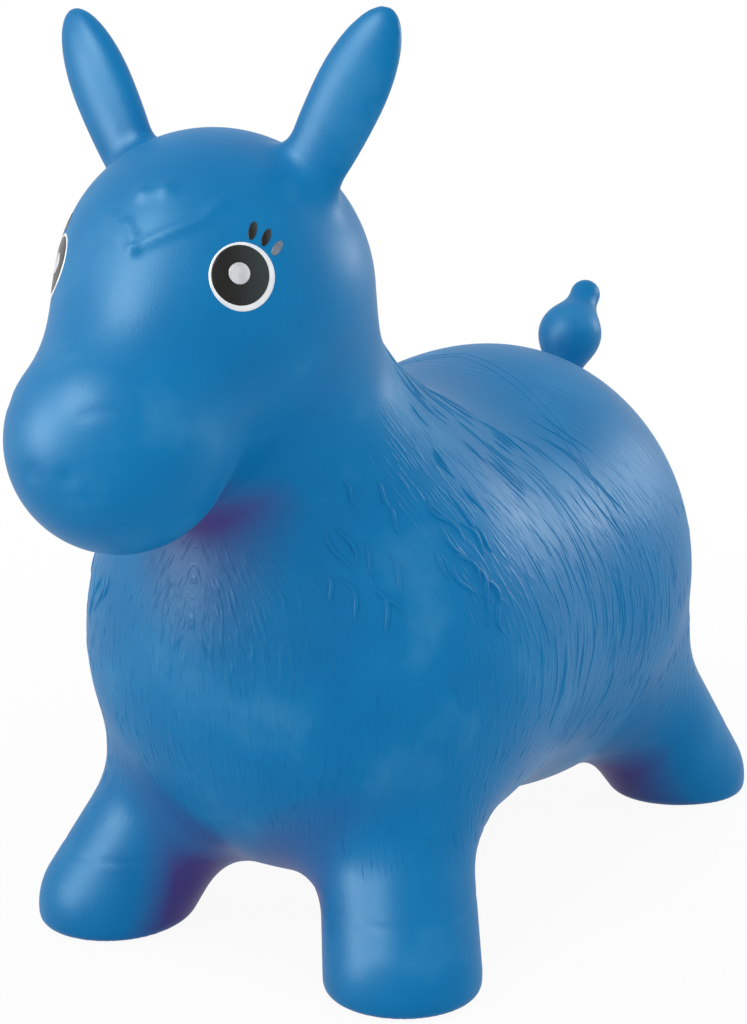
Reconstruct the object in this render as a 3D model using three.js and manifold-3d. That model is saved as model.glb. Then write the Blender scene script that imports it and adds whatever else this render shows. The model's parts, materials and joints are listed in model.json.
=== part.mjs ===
// Inflatable hopper horse: a soft hollow vinyl skin blown up round one air chamber, with ears for grips,
// stub legs to bounce on, a bobble tail, painted eyes and an air valve under the belly.
// Millimetres, +Z up, nose towards -Y, the horse's left side towards +X, soles on z = 0.
import * as THREE from "three";
import { mergeVertices } from "three/addons/utils/BufferGeometryUtils.js";
import Module from "manifold-3d";

// Skin
const WALL = 2.4;
const SEAM_GAP = 0.3;

// Barrel of the body: chest, belly and rump eggs that melt into each other
const CHEST_Y = -117;
const CHEST_Z = 160;
const CHEST_HALF_WIDTH = 129;
const CHEST_HALF_LENGTH = 117;
const CHEST_HALF_HEIGHT = 130;
const BELLY_BEHIND_CHEST = 117;
const BELLY_HALF_WIDTH = 122;
const BELLY_HALF_LENGTH = 150;
const BELLY_HALF_HEIGHT = 118;
const RUMP_BEHIND_CHEST = 201;
const RUMP_BELOW_CHEST = 4;
const RUMP_HALF_WIDTH = 114;
const RUMP_HALF_LENGTH = 111;
const RUMP_HALF_HEIGHT = 130;
const BARREL_MELT = 60;

// Neck, from its base inside the chest to its top inside the skull
const NECK_BASE_AHEAD = 15;
const NECK_BASE_ABOVE_CHEST = 55;
const NECK_REACH = 55;
const NECK_RISE = 124;
const NECK_BASE_RADIUS = 75;
const NECK_TOP_RADIUS = 59;
const NECK_MELT = 50;
const NECK_PIVOT_RISE = 42;
const NECK_SOCKET_MARGIN = 17;

// Head: an egg for the skull and a tapered muzzle
const SKULL_AHEAD_OF_NECK = 23;
const SKULL_ABOVE_NECK = 24;
const SKULL_HALF_WIDTH = 70;
const SKULL_HALF_LENGTH = 73;
const SKULL_HALF_HEIGHT = 67;
const CHEEK_AHEAD = 16;
const CHEEK_DROP = 24;
const CHEEK_RADIUS = 52;
const MUZZLE_AHEAD = 77;
const MUZZLE_DROP = 73;
const MUZZLE_RADIUS = 53;
const JAW_MELT = 40;
const HEAD_MELT = 36;
const HEAD_SEAM_BACK = 22;
const HEAD_SEAM_DROP = 7;
const HEAD_SEAM_TILT = 43;

// Ears: flattened leaves that stand on the crown and serve as hand grips
const EAR_ROUND_CROWN = 47;
const EAR_BACK = 7;
const EAR_LENGTH = 87;
const EAR_HALF_WIDTH = 18;
const EAR_LEAF_RISE = 42;
const EAR_LEAN_OUT = 28.5;
const EAR_LEAN_BACK = 3.5;
const EAR_TURN_OUT = 7;
const EAR_ROOT_SUNK = 33;
const EAR_FLATNESS = 0.62;
const EAR_MELT = 14;
const EAR_PIVOT_RISE = 8;
const EAR_SOCKET_MARGIN = 2;

// Legs: short stubs that splay out to flat round soles
const FRONT_HIP_OUT = 57;
const FRONT_HIP_AHEAD_OF_CHEST = 19;
const FRONT_HIP_BELOW_CHEST = 63;
const FRONT_FOOT_OUT = 92;
const FRONT_FOOT_AHEAD_OF_HIP = 48;
const FRONT_HIP_RADIUS = 39;
const REAR_HIP_OUT = 60;
const REAR_HIP_BEHIND_RUMP = 35;
const REAR_HIP_BELOW_RUMP = 62;
const REAR_FOOT_OUT = 86;
const REAR_FOOT_BEHIND_HIP = 57;
const REAR_HIP_RADIUS = 46;
const FOOT_RADIUS = 40.5;
const FOOT_BALL_HEIGHT = 9;
const ANKLE_SHARE = 0.85;
const SOLE_EDGE_MELT = 6;
const LEG_MELT = 30;
const LEG_SLEEVE_MARGIN = 3.5;

// Tail: a stem, a large bobble and a small one on its tip
const TAIL_ROUND_RUMP = 40;
const TAIL_ROOT_SUNK = 12;
const TAIL_STEM_RADIUS = 11;
const TAIL_STEM_LENGTH = 52;
const TAIL_LEAN_BACK = 23.5;
const TAIL_BOBBLE_RADIUS = 20;
const TAIL_TIP_RADIUS = 9.5;
const TAIL_TIP_BACK = 21;
const TAIL_TIP_RISE = 23;
const TAIL_BOBBLE_MELT = 10;
const TAIL_MELT = 12;
const TAIL_PIVOT_RISE = 7;
const TAIL_SOCKET_MARGIN = 3;

// Painted eyes: a white, a black and a glint that lie side by side, and the lashes above them
const PAINT_FILM = 0.4;
const LEFT_EYE_ROUND_HEAD = 45.5;
const RIGHT_EYE_ROUND_HEAD = 38.5;
const EYE_RISE = 2.7;
const EYE_WHITE_RADIUS = 16;
const EYE_BLACK_RADIUS = 14.2;
const EYE_BLACK_AHEAD = 0.9;
const EYE_BLACK_UP = 0.65;
const EYE_GLINT_RADIUS = 5.1;
const EYE_GLINT_AHEAD = 1.5;
const EYE_GLINT_UP = 1.4;
const LASH_HALF_WIDTH = 2;
const LASHES = [
  { name: "front", distance: 22.5, round: 18.5, tilt: 22, halfLength: 5 },
  { name: "middle", distance: 22.4, round: 37, tilt: 32, halfLength: 5 },
  { name: "rear", distance: 22.4, round: 55.5, tilt: 42, halfLength: 4.5 },
];

// Air valve under the belly: a flanged seat in the skin and a push-in plug
const VALVE_BEHIND_CHEST = 117;
const VALVE_SEAT_RADIUS = 8;
const VALVE_SEAT_HEIGHT = 12;
const VALVE_SEAT_PROUD = 1;
const VALVE_FLANGE_RADIUS = 13;
const VALVE_FLANGE_THICKNESS = 1.6;
const VALVE_BORE_RADIUS = 4;
const VALVE_PLUG_LENGTH = 9;
const VALVE_PLUG_TIP_RADIUS = 3.1;
const VALVE_PLUG_HEAD_RADIUS = 6.5;
const VALVE_PLUG_HEAD_THICKNESS = 2;

// Fineness of the faceted surfaces: facets round a limb, over each end and along it
const BARREL_FACETS = { round: 28, end: 7, along: 6 };
const NECK_FACETS = { round: 24, end: 5, along: 6 };
const HEAD_FACETS = { round: 34, end: 8, along: 5 };
const LEG_FACETS = { round: 20, end: 6, along: 4 };
const EAR_FACETS = { round: 14, end: 3, along: 6 };
const TAIL_FACETS = { round: 16, end: 5, along: 5 };
const NECK_SOCKET_FACETS = 32;
const LEG_SLEEVE_FACETS = 24;
const SMALL_SOCKET_FACETS = 20;
const VALVE_FACETS = 20;
const EYE_FACETS = 24;
const GLINT_FACETS = 14;
const LASH_FACETS = 12;

const wasm = await Module();
wasm.setup();

const LATHE_AXIS = new THREE.Vector3(0, 1, 0);
const at = (x, y, z) => new THREE.Vector3(x, y, z);
const radians = THREE.MathUtils.degToRad;

// Places worked out from the driving sizes
const chest = at(0, CHEST_Y, CHEST_Z);
const belly = at(0, CHEST_Y + BELLY_BEHIND_CHEST, CHEST_Z);
const rump = at(0, CHEST_Y + RUMP_BEHIND_CHEST, CHEST_Z - RUMP_BELOW_CHEST);
const neckBase = at(0, chest.y - NECK_BASE_AHEAD, chest.z + NECK_BASE_ABOVE_CHEST);
const neckTop = at(0, neckBase.y - NECK_REACH, neckBase.z + NECK_RISE);
const neckAxis = neckTop.clone().sub(neckBase).normalize();
const neckPivot = neckBase.clone().addScaledVector(neckAxis, NECK_PIVOT_RISE);
const neckSocketRadius = NECK_BASE_RADIUS + NECK_SOCKET_MARGIN;
const skull = at(0, neckTop.y - SKULL_AHEAD_OF_NECK, neckTop.z + SKULL_ABOVE_NECK);
const cheek = at(0, skull.y - CHEEK_AHEAD, skull.z - CHEEK_DROP);
const muzzle = at(0, skull.y - MUZZLE_AHEAD, skull.z - MUZZLE_DROP);

const frontHip = at(
  FRONT_HIP_OUT,
  chest.y - FRONT_HIP_AHEAD_OF_CHEST,
  chest.z - FRONT_HIP_BELOW_CHEST,
);
const frontFoot = at(FRONT_FOOT_OUT, frontHip.y - FRONT_FOOT_AHEAD_OF_HIP, FOOT_BALL_HEIGHT);
const rearHip = at(REAR_HIP_OUT, rump.y + REAR_HIP_BEHIND_RUMP, rump.z - REAR_HIP_BELOW_RUMP);
const rearFoot = at(REAR_FOOT_OUT, rearHip.y + REAR_FOOT_BEHIND_HIP, FOOT_BALL_HEIGHT);

// Ear on the horse's left: its root on the crown and its own across, through and along directions
const crownAngle = radians(EAR_ROUND_CROWN);
const earRoot = at(
  SKULL_HALF_WIDTH * Math.sin(crownAngle),
  skull.y + EAR_BACK,
  skull.z + SKULL_HALF_HEIGHT * Math.cos(crownAngle),
);
const earAlong = at(
  Math.tan(radians(EAR_LEAN_OUT)),
  Math.tan(radians(EAR_LEAN_BACK)),
  1,
).normalize();
const earFacing = at(Math.sin(radians(EAR_TURN_OUT)), -Math.cos(radians(EAR_TURN_OUT)), 0);
const earAcross = earAlong.clone().cross(earFacing).normalize();
const earThrough = earAcross.clone().cross(earAlong);
const earPivot = earRoot.clone().addScaledVector(earAlong, EAR_PIVOT_RISE);
const earSocketRadius = EAR_HALF_WIDTH + EAR_SOCKET_MARGIN;

// Fields: distances to simple swelling forms, negative inside

function egg(p, centre, halfWidth, halfLength, halfHeight) {
  const x = p.x - centre.x;
  const y = p.y - centre.y;
  const z = p.z - centre.z;
  const inner = Math.hypot(x / halfWidth, y / halfLength, z / halfHeight);
  const slope = Math.hypot(x / halfWidth ** 2, y / halfLength ** 2, z / halfHeight ** 2);
  return (inner * (inner - 1)) / Math.max(slope, 1e-9);
}

const ball = (p, centre, radius) => p.distanceTo(centre) - radius;

function limb(p, start, end, startRadius, endRadius) {
  const bone = new THREE.Vector3().subVectors(end, start);
  const offset = new THREE.Vector3().subVectors(p, start);
  const along = THREE.MathUtils.clamp(offset.dot(bone) / bone.lengthSq(), 0, 1);
  return offset.addScaledVector(bone, -along).length() - THREE.MathUtils.lerp(startRadius, endRadius, along);
}

// Smooth union: two forms run into each other over the given distance
function melt(distance, ...forms) {
  return forms.reduce((a, b) => {
    const overlap = Math.max(distance - Math.abs(a - b), 0) / distance;
    return Math.min(a, b) - (overlap ** 2 * distance) / 4;
  });
}

function mirroredPair(distance, form, p) {
  return melt(distance, form(p), form(at(-p.x, p.y, p.z)));
}

function barrelField(p) {
  return melt(
    BARREL_MELT,
    egg(p, chest, CHEST_HALF_WIDTH, CHEST_HALF_LENGTH, CHEST_HALF_HEIGHT),
    egg(p, belly, BELLY_HALF_WIDTH, BELLY_HALF_LENGTH, BELLY_HALF_HEIGHT),
    egg(p, rump, RUMP_HALF_WIDTH, RUMP_HALF_LENGTH, RUMP_HALF_HEIGHT),
  );
}

function headField(p) {
  return melt(
    JAW_MELT,
    egg(p, skull, SKULL_HALF_WIDTH, SKULL_HALF_LENGTH, SKULL_HALF_HEIGHT),
    limb(p, cheek, muzzle, CHEEK_RADIUS, MUZZLE_RADIUS),
  );
}

// The ear is a leaf, worked out in its own directions: widest at its middle, thinned from front to back,
// and drawn out further towards its sunken root than towards its tip
function earField(p) {
  const offset = p.clone().sub(earRoot);
  const above = offset.dot(earAlong) - EAR_LEAF_RISE;
  const reach = above > 0 ? EAR_LENGTH - EAR_LEAF_RISE : EAR_LEAF_RISE + EAR_ROOT_SUNK;
  const local = at(offset.dot(earAcross), offset.dot(earThrough), above);
  return egg(local, at(0, 0, 0), EAR_HALF_WIDTH, EAR_HALF_WIDTH * EAR_FLATNESS, reach);
}

const frontLegField = (p) => limb(p, frontHip, frontFoot, FRONT_HIP_RADIUS, FOOT_RADIUS);
const rearLegField = (p) => limb(p, rearHip, rearFoot, REAR_HIP_RADIUS, FOOT_RADIUS);

// The tail stands on the rump, on the line that leans back from the rump's centre
const rumpToTail = at(0, Math.sin(radians(TAIL_ROUND_RUMP)), Math.cos(radians(TAIL_ROUND_RUMP)));
const tailAxis = at(0, Math.sin(radians(TAIL_LEAN_BACK)), Math.cos(radians(TAIL_LEAN_BACK)));
const tailFoot = surfacePoint(barrelField, rump, rumpToTail, 2 * RUMP_HALF_LENGTH);
const tailPivot = tailFoot.clone().addScaledVector(tailAxis, TAIL_PIVOT_RISE);
const tailRoot = tailFoot.clone().addScaledVector(tailAxis, -TAIL_ROOT_SUNK);
const tailBobble = tailRoot.clone().addScaledVector(tailAxis, TAIL_STEM_LENGTH);
const tailTip = at(0, tailBobble.y + TAIL_TIP_BACK, tailBobble.z + TAIL_TIP_RISE);
const tailSocketRadius = TAIL_BOBBLE_RADIUS + TAIL_SOCKET_MARGIN;

function tailField(p) {
  return melt(
    TAIL_BOBBLE_MELT,
    limb(p, tailRoot, tailBobble, TAIL_STEM_RADIUS, TAIL_STEM_RADIUS),
    ball(p, tailBobble, TAIL_BOBBLE_RADIUS),
    limb(p, tailBobble, tailTip, TAIL_TIP_RADIUS, TAIL_TIP_RADIUS),
  );
}

const neckField = (p) => limb(p, neckBase, neckTop, NECK_BASE_RADIUS, NECK_TOP_RADIUS);

// A form is either whole, or only the smooth foot that it gives its neighbour round the opening between them
const FOOT_DEPTH = 2;
const whole = (distance) => distance;
const footOnly = (distance) => Math.max(distance, FOOT_DEPTH);
const ALL_WHOLE = { barrel: whole, legs: whole, tail: whole, neck: whole, head: whole, ears: whole };

// The whole outer skin, flattened where the soles meet the ground
function skinField(p, { barrel, legs, tail, neck, head, ears } = ALL_WHOLE) {
  let distance = melt(NECK_MELT, barrel(barrelField(p)), neck(neckField(p)));
  distance = melt(LEG_MELT, distance, legs(mirroredPair(LEG_MELT, frontLegField, p)));
  distance = melt(LEG_MELT, distance, legs(mirroredPair(LEG_MELT, rearLegField, p)));
  distance = melt(TAIL_MELT, distance, tail(tailField(p)));
  distance = melt(HEAD_MELT, distance, head(headField(p)));
  distance = melt(EAR_MELT, distance, ears(mirroredPair(EAR_MELT, earField, p)));
  return -melt(SOLE_EDGE_MELT, -distance, p.z);
}

// Where a straight line from inside a form leaves it, or its end at the reach
function surfacePoint(field, start, direction, reach) {
  const stride = 2;
  const point = (distance) => start.clone().addScaledVector(direction, distance);
  let inside = 0;
  while (inside < reach && field(point(inside + stride)) < 0) inside += stride;
  if (inside >= reach) return point(reach);
  let outside = inside + stride;
  for (let i = 0; i < 25; i += 1) {
    const half = (inside + outside) / 2;
    if (field(point(half)) < 0) inside = half;
    else outside = half;
  }
  return point(outside);
}

function outwardNormal(field, p) {
  const step = 0.05;
  const slope = [at(step, 0, 0), at(0, step, 0), at(0, 0, step)].map(
    (shift) => field(p.clone().add(shift)) - field(p.clone().sub(shift)),
  );
  return at(...slope).normalize();
}

// A slim capsule round a bone, blown up until its points meet the surface or have gone as far as the reach.
// Its rings of facets lie square to the axis, which need not be the bone's own direction.
function inflate(field, { start, end, axis }, facets, reach) {
  const length = end.distanceTo(start);
  const geometry = new THREE.CapsuleGeometry(1, length, facets.end, facets.round, facets.along);
  const turn = new THREE.Quaternion().setFromUnitVectors(LATHE_AXIS, axis);
  const points = geometry.attributes.position;
  for (let i = 0; i < points.count; i += 1) {
    const height = THREE.MathUtils.clamp(points.getY(i), -length / 2, length / 2);
    const origin = start.clone().lerp(end, height / length + 0.5);
    const outward = at(points.getX(i), points.getY(i) - height, points.getZ(i)).normalize();
    const point = surfacePoint(field, origin, outward.applyQuaternion(turn), reach);
    points.setXYZ(i, point.x, point.y, point.z);
  }
  return geometry;
}

const straightBone = (start, end) => ({ start, end, axis: end.clone().sub(start).normalize() });

// A closed geometry as a solid that can be joined and cut
function solidFrom(geometry) {
  const bare = geometry.clone();
  bare.deleteAttribute("normal");
  bare.deleteAttribute("uv");
  const merged = mergeVertices(bare, 1e-4);
  const corners = merged.index.array;
  const triVerts = [];
  for (let i = 0; i < corners.length; i += 3) {
    const [a, b, c] = corners.slice(i, i + 3);
    if (a !== b && b !== c && c !== a) triVerts.push(a, b, c);
  }
  return new wasm.Manifold(
    new wasm.Mesh({
      numProp: 3,
      vertProperties: merged.attributes.position.array,
      triVerts: new Uint32Array(triVerts),
    }),
  );
}

function geometryFrom(solid) {
  const { vertProperties, triVerts } = solid.getMesh();
  const geometry = new THREE.BufferGeometry();
  geometry.setAttribute("position", new THREE.BufferAttribute(vertProperties, 3));
  geometry.setIndex(new THREE.BufferAttribute(triVerts, 1));
  geometry.computeVertexNormals();
  return geometry;
}

function turnedTo(geometry, pivot, axis) {
  const turn = new THREE.Quaternion().setFromUnitVectors(LATHE_AXIS, axis);
  return geometry.applyQuaternion(turn).translate(pivot.x, pivot.y, pivot.z);
}

// A ball round a pivot with a straight sleeve along the limb, so that the limb can tilt in its socket
function socket(pivot, axis, radius, length, facets) {
  const profile = new THREE.Path();
  profile.absarc(0, 0, radius, -Math.PI / 2, 0);
  profile.lineTo(radius, length);
  profile.lineTo(0, length);
  return turnedTo(new THREE.LatheGeometry(profile.getPoints(facets / 4), facets), pivot, axis);
}

// A straight sleeve from a start point along an axis
function sleeve(start, axis, radius, length, facets) {
  const cylinder = new THREE.CylinderGeometry(radius, radius, length, facets);
  return turnedTo(cylinder.translate(0, length / 2, 0), start, axis);
}

// A block that fills the space behind a plane through a point
function behind(point, normal, extent) {
  const block = new THREE.BoxGeometry(extent, extent, extent).translate(0, -extent / 2, 0);
  return turnedTo(block, point, normal);
}

// The hollow skin round a bone, with some neighbours reduced to their feet
function hollowSkin(bone, facets, reach, feet) {
  const forms = { ...ALL_WHOLE, ...Object.fromEntries(feet.map((name) => [name, footOnly])) };
  const outer = inflate((p) => skinField(p, forms), bone, facets, reach);
  const inner = inflate((p) => skinField(p, forms) + WALL, bone, facets, reach + WALL);
  return solidFrom(outer).subtract(solidFrom(inner));
}

// Where the skin is divided: every piece keeps clear of its neighbour by the seam gap

const asIs = (v) => v;
const mirrored = (v) => at(-v.x, v.y, v.z);
const bothSides = [asIs, mirrored];

const sleeveRadius = (hipRadius) => Math.max(hipRadius, FOOT_RADIUS) + LEG_SLEEVE_MARGIN;
const frontLeg = { hip: frontHip, foot: frontFoot, radius: sleeveRadius(FRONT_HIP_RADIUS) };
const rearLeg = { hip: rearHip, foot: rearFoot, radius: sleeveRadius(REAR_HIP_RADIUS) };
const legAxis = (leg) => leg.foot.clone().sub(leg.hip).normalize();
const legLength = (leg) => leg.foot.distanceTo(leg.hip) + leg.radius;
const neckLength = 2 * neckTop.distanceTo(neckBase);
const tailLength = TAIL_STEM_LENGTH + TAIL_BOBBLE_RADIUS + TAIL_TIP_RISE + TAIL_TIP_BACK;
const earLength = EAR_LENGTH + earSocketRadius;

const legSleeve = (leg, gap, side = asIs) =>
  sleeve(side(leg.hip), side(legAxis(leg)), leg.radius - gap, legLength(leg), LEG_SLEEVE_FACETS);
const neckSocket = (radius) => socket(neckPivot, neckAxis, radius, neckLength, NECK_SOCKET_FACETS);
const tailSocket = (radius) => socket(tailPivot, tailAxis, radius, tailLength, SMALL_SOCKET_FACETS);
const earSocket = (radius, side = asIs) =>
  socket(side(earPivot), side(earAlong), radius, earLength, SMALL_SOCKET_FACETS);

const seamTilt = radians(HEAD_SEAM_TILT);
const headSeamNormal = at(0, -Math.cos(seamTilt), Math.sin(seamTilt));
const headSeamPoint = at(0, neckTop.y + HEAD_SEAM_BACK, neckTop.z - HEAD_SEAM_DROP);
const neckSide = (gap) =>
  behind(headSeamPoint.clone().addScaledVector(headSeamNormal, -gap), headSeamNormal, 2 * neckLength);

// Air valve: the lowest point of the belly, the flanged seat in it and the plug that stops its bore

const valveTop = at(0, chest.y + VALVE_BEHIND_CHEST, chest.z);
const valvePoint = surfacePoint(skinField, valveTop, at(0, 0, -1), 2 * CHEST_HALF_HEIGHT);
const seatBottom = valvePoint.z - VALVE_SEAT_PROUD;
const flangeBottom = valvePoint.z + WALL + SEAM_GAP;

function turnedProfile(corners) {
  const profile = corners.map(([radius, height]) => new THREE.Vector2(radius, height));
  const geometry = new THREE.LatheGeometry([...profile, profile[0]], VALVE_FACETS);
  return turnedTo(geometry, at(valvePoint.x, valvePoint.y, 0), at(0, 0, 1));
}

function valveSeat() {
  return turnedProfile([
    [VALVE_BORE_RADIUS, seatBottom],
    [VALVE_SEAT_RADIUS, seatBottom],
    [VALVE_SEAT_RADIUS, flangeBottom],
    [VALVE_FLANGE_RADIUS, flangeBottom],
    [VALVE_FLANGE_RADIUS, flangeBottom + VALVE_FLANGE_THICKNESS],
    [VALVE_SEAT_RADIUS, flangeBottom + VALVE_FLANGE_THICKNESS],
    [VALVE_SEAT_RADIUS, seatBottom + VALVE_SEAT_HEIGHT],
    [VALVE_BORE_RADIUS, seatBottom + VALVE_SEAT_HEIGHT],
  ]);
}

function valvePlug() {
  const headTop = seatBottom - SEAM_GAP;
  return turnedProfile([
    [0, headTop - VALVE_PLUG_HEAD_THICKNESS],
    [VALVE_PLUG_HEAD_RADIUS, headTop - VALVE_PLUG_HEAD_THICKNESS],
    [VALVE_PLUG_HEAD_RADIUS, headTop],
    [VALVE_BORE_RADIUS - SEAM_GAP, headTop],
    [VALVE_PLUG_TIP_RADIUS, headTop + VALVE_PLUG_LENGTH],
    [0, headTop + VALVE_PLUG_LENGTH],
  ]);
}

// The seat's hole through the skin, and a flat round it inside for the flange
function valveOpening() {
  const up = at(0, 0, 1);
  const below = valvePoint.clone().setZ(seatBottom - VALVE_SEAT_HEIGHT);
  const inside = valvePoint.clone().setZ(valvePoint.z + WALL);
  const hole = sleeve(below, up, VALVE_SEAT_RADIUS + SEAM_GAP, 2 * VALVE_SEAT_HEIGHT, VALVE_FACETS);
  const flat = sleeve(inside, up, VALVE_FLANGE_RADIUS + SEAM_GAP, VALVE_SEAT_HEIGHT, VALVE_FACETS);
  return solidFrom(hole).add(solidFrom(flat));
}

// Pieces of the skin

function torso() {
  const reach = 2 * Math.max(CHEST_HALF_WIDTH, CHEST_HALF_HEIGHT);
  const feet = ["legs", "tail", "neck", "head", "ears"];
  let solid = hollowSkin(straightBone(chest, rump), BARREL_FACETS, reach, feet);
  solid = solid.subtract(solidFrom(neckSocket(neckSocketRadius)));
  solid = solid.subtract(solidFrom(tailSocket(tailSocketRadius)));
  solid = solid.subtract(valveOpening());
  for (const side of bothSides) {
    solid = solid.subtract(solidFrom(legSleeve(frontLeg, 0, side)));
    solid = solid.subtract(solidFrom(legSleeve(rearLeg, 0, side)));
  }
  return geometryFrom(solid);
}

function neck() {
  const reach = 2 * neckSocketRadius;
  const skin = hollowSkin(straightBone(neckBase, neckTop), NECK_FACETS, reach, ["barrel", "head"]);
  const inSocket = skin.intersect(solidFrom(neckSocket(neckSocketRadius - SEAM_GAP)));
  return geometryFrom(inSocket.intersect(solidFrom(neckSide(SEAM_GAP))));
}

function head() {
  const reach = 2 * neckSocketRadius;
  let solid = hollowSkin(straightBone(muzzle, skull), HEAD_FACETS, reach, ["barrel", "ears"]);
  solid = solid.subtract(solidFrom(neckSide(0)));
  for (const side of bothSides) solid = solid.subtract(solidFrom(earSocket(earSocketRadius, side)));
  return geometryFrom(solid);
}

function ear() {
  const low = earRoot.clone().addScaledVector(earAlong, -EAR_PIVOT_RISE);
  const high = earRoot.clone().addScaledVector(earAlong, (EAR_LEAF_RISE + EAR_LENGTH) / 2);
  const skin = hollowSkin(straightBone(low, high), EAR_FACETS, 2 * earSocketRadius, ["head", "neck"]);
  return geometryFrom(skin.intersect(solidFrom(earSocket(earSocketRadius - SEAM_GAP))));
}

function tail() {
  const reach = 3 * tailSocketRadius;
  const skin = hollowSkin(straightBone(tailRoot, tailBobble), TAIL_FACETS, reach, ["barrel"]);
  return geometryFrom(skin.intersect(solidFrom(tailSocket(tailSocketRadius - SEAM_GAP))));
}

// The leg's rings of facets lie level, so that its sole has an even edge
function leg(ends) {
  const ankle = ends.foot.clone().setZ(FOOT_RADIUS * ANKLE_SHARE);
  const bone = { start: ends.hip, end: ankle, axis: at(0, 0, -1) };
  const skin = hollowSkin(bone, LEG_FACETS, 2 * ends.radius, ["barrel"]);
  return geometryFrom(skin.intersect(solidFrom(legSleeve(ends, SEAM_GAP))));
}

// A painted eye: films that follow the skin, drawn rearwards and upwards from the eye's centre

function eyeAt(roundHead) {
  const round = radians(roundHead);
  const rise = radians(EYE_RISE);
  const direction = at(
    Math.sin(round) * Math.cos(rise),
    -Math.cos(round) * Math.cos(rise),
    Math.sin(rise),
  );
  const centre = surfacePoint(skinField, skull, direction, 2 * SKULL_HALF_LENGTH);
  const normal = outwardNormal(skinField, centre);
  const rearwards = at(0, 0, 1).cross(normal).normalize();
  return { centre, normal, rearwards, upwards: normal.clone().cross(rearwards) };
}

const eyeMiddle = new THREE.Vector2(0, 0);
const blackMiddle = new THREE.Vector2(-EYE_BLACK_AHEAD, EYE_BLACK_UP);
const glintMiddle = new THREE.Vector2(-EYE_GLINT_AHEAD, EYE_GLINT_UP);

const oval = (middle, halfWidth, halfLength, tilt) => (angle) =>
  new THREE.Vector2(halfWidth * Math.cos(angle), halfLength * Math.sin(angle))
    .rotateAround(new THREE.Vector2(0, 0), -tilt)
    .add(middle);
const circle = (middle, radius) => oval(middle, radius, radius, 0);
const dot = (middle) => circle(middle, 0);

// A film that fills the space between two edges, with a few facets from one edge to the other
function paintFilm(eye, innerEdge, outerEdge, across, round) {
  const shares = Array.from({ length: across + 1 }, (_, i) => 1 + i / across);
  const under = shares.map((radius) => new THREE.Vector2(radius, 0));
  const over = shares.toReversed().map((radius) => new THREE.Vector2(radius, PAINT_FILM));
  const geometry = new THREE.LatheGeometry([...under, ...over, under[0]], round);
  const points = geometry.attributes.position;
  for (let i = 0; i < points.count; i += 1) {
    const angle = Math.atan2(points.getX(i), points.getZ(i));
    const share = Math.hypot(points.getX(i), points.getZ(i)) - 1;
    const place = innerEdge(angle).lerp(outerEdge(angle), share);
    const start = eye.centre
      .clone()
      .addScaledVector(eye.rearwards, place.x)
      .addScaledVector(eye.upwards, place.y)
      .addScaledVector(eye.normal, -SKULL_HALF_WIDTH / 2);
    const foot = surfacePoint(skinField, start, eye.normal, SKULL_HALF_WIDTH);
    const point = foot.addScaledVector(outwardNormal(skinField, foot), SEAM_GAP + points.getY(i));
    points.setXYZ(i, point.x, point.y, point.z);
  }
  geometry.computeVertexNormals();
  return geometry;
}

const eyeWhite = (eye) =>
  paintFilm(eye, circle(blackMiddle, EYE_BLACK_RADIUS), circle(eyeMiddle, EYE_WHITE_RADIUS), 1, EYE_FACETS);
const eyeBlack = (eye) =>
  paintFilm(
    eye,
    circle(glintMiddle, EYE_GLINT_RADIUS),
    circle(blackMiddle, EYE_BLACK_RADIUS - SEAM_GAP),
    2,
    EYE_FACETS,
  );
const eyeGlint = (eye) =>
  paintFilm(eye, dot(glintMiddle), circle(glintMiddle, EYE_GLINT_RADIUS - SEAM_GAP), 1, GLINT_FACETS);

function lash(eye, { distance, round, tilt, halfLength }) {
  const middle = new THREE.Vector2(0, distance).rotateAround(eyeMiddle, -radians(round));
  const edge = oval(middle, LASH_HALF_WIDTH, halfLength, radians(tilt));
  return paintFilm(eye, dot(middle), edge, 1, LASH_FACETS);
}

// Assembly: each moving piece hangs in a group at its pivot, and the right side mirrors the left

const vinyl = new THREE.MeshStandardMaterial({ name: "blue_vinyl", color: 0x1679b4, roughness: 0.4 });
const whitePaint = new THREE.MeshStandardMaterial({ name: "white_paint", color: 0xe9ecee, roughness: 0.5 });
const blackPaint = new THREE.MeshStandardMaterial({ name: "black_paint", color: 0x1c1f22, roughness: 0.35 });
const clearVinyl = new THREE.MeshStandardMaterial({ name: "valve_vinyl", color: 0xe4e6e4, roughness: 0.4 });

function piece(name, geometry, material) {
  const mesh = new THREE.Mesh(geometry, material);
  mesh.name = name;
  return mesh;
}

function pivoted(name, pivot, ...meshes) {
  const group = new THREE.Group();
  group.name = `${name}_pivot`;
  group.position.copy(pivot);
  for (const mesh of meshes) mesh.position.sub(pivot);
  group.add(...meshes);
  return group;
}

const earSkin = ear();
const frontLegSkin = leg(frontLeg);
const rearLegSkin = leg(rearLeg);

function sideOfHorse(side, eye) {
  const group = new THREE.Group();
  group.name = `${side}_side`;
  group.add(
    pivoted(`${side}_ear`, earPivot, piece(`${side}_ear`, earSkin, vinyl)),
    pivoted(`front_${side}_leg`, frontFoot, piece(`front_${side}_leg`, frontLegSkin, vinyl)),
    pivoted(`rear_${side}_leg`, rearFoot, piece(`rear_${side}_leg`, rearLegSkin, vinyl)),
    piece(`${side}_eye_white`, eyeWhite(eye), whitePaint),
    piece(`${side}_eye_black`, eyeBlack(eye), blackPaint),
    piece(`${side}_eye_glint`, eyeGlint(eye), whitePaint),
    ...LASHES.map((sizes) => piece(`${side}_${sizes.name}_lash`, lash(eye, sizes), blackPaint)),
  );
  return group;
}

const leftSide = sideOfHorse("left", eyeAt(LEFT_EYE_ROUND_HEAD));
const rightSide = sideOfHorse("right", eyeAt(RIGHT_EYE_ROUND_HEAD));
rightSide.scale.x = -1;

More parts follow.
